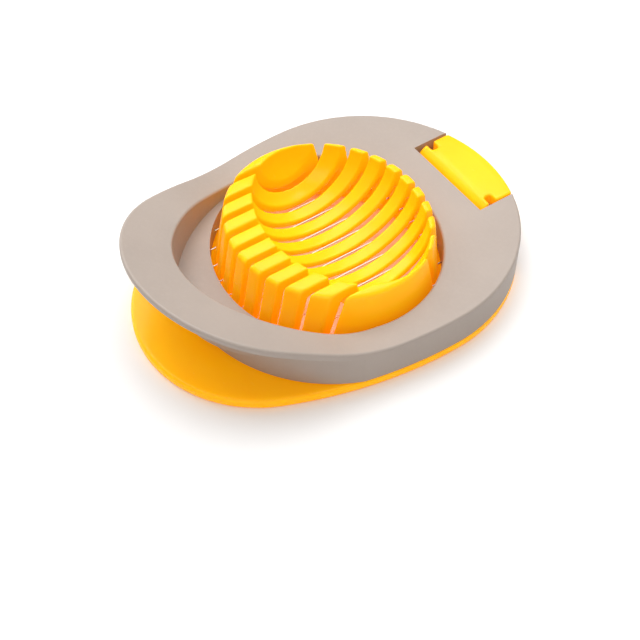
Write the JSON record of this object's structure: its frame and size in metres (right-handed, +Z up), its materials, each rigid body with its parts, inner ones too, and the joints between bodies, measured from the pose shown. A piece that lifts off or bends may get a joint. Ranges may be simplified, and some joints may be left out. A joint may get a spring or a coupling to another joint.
{
  "type": "egg slicer",
  "caption": "Hand egg slicer: a slatted cup on an egg-shaped base plate, and a wired cutting frame hinged over it that lifts by its raised brim.",
  "frame": {"origin": "centre of the overall outline in plan, on the table that the base plate rests on", "axes": "+X along the hinge, +Y towards the hinge, +Z up; the handle end is at -Y"},
  "size_m": [0.091, 0.12, 0.033],
  "materials": {
    "yellow_plastic": "glossy, slightly translucent yellow",
    "grey_plastic": "satin warm grey",
    "wire_steel": "drawn stainless wire",
    "ferrule_brass": "crimped, dull"
  },
  "bodies": {
    "base": {"base_moulding": "yellow_plastic"},
    "frame": {"cutting_frame": "grey_plastic", "wire_01": "wire_steel", "wire_02": "wire_steel", "wire_03": "wire_steel", "wire_04": "wire_steel", "wire_05": "wire_steel", "wire_06": "wire_steel", "wire_07": "wire_steel", "wire_08": "wire_steel", "wire_09": "wire_steel", "wire_10": "wire_steel", "wire_ferrules_handle": "ferrule_brass", "wire_ferrules_hinge": "ferrule_brass"}
  },
  "joints": [
    {"name": "frame_hinge", "type": "hinge", "parent": "base", "child": "frame", "pos_m": [0, 0.05, 0.0094], "axis": [-1, 0, 0], "range_deg": [0, 95]}
  ]
}
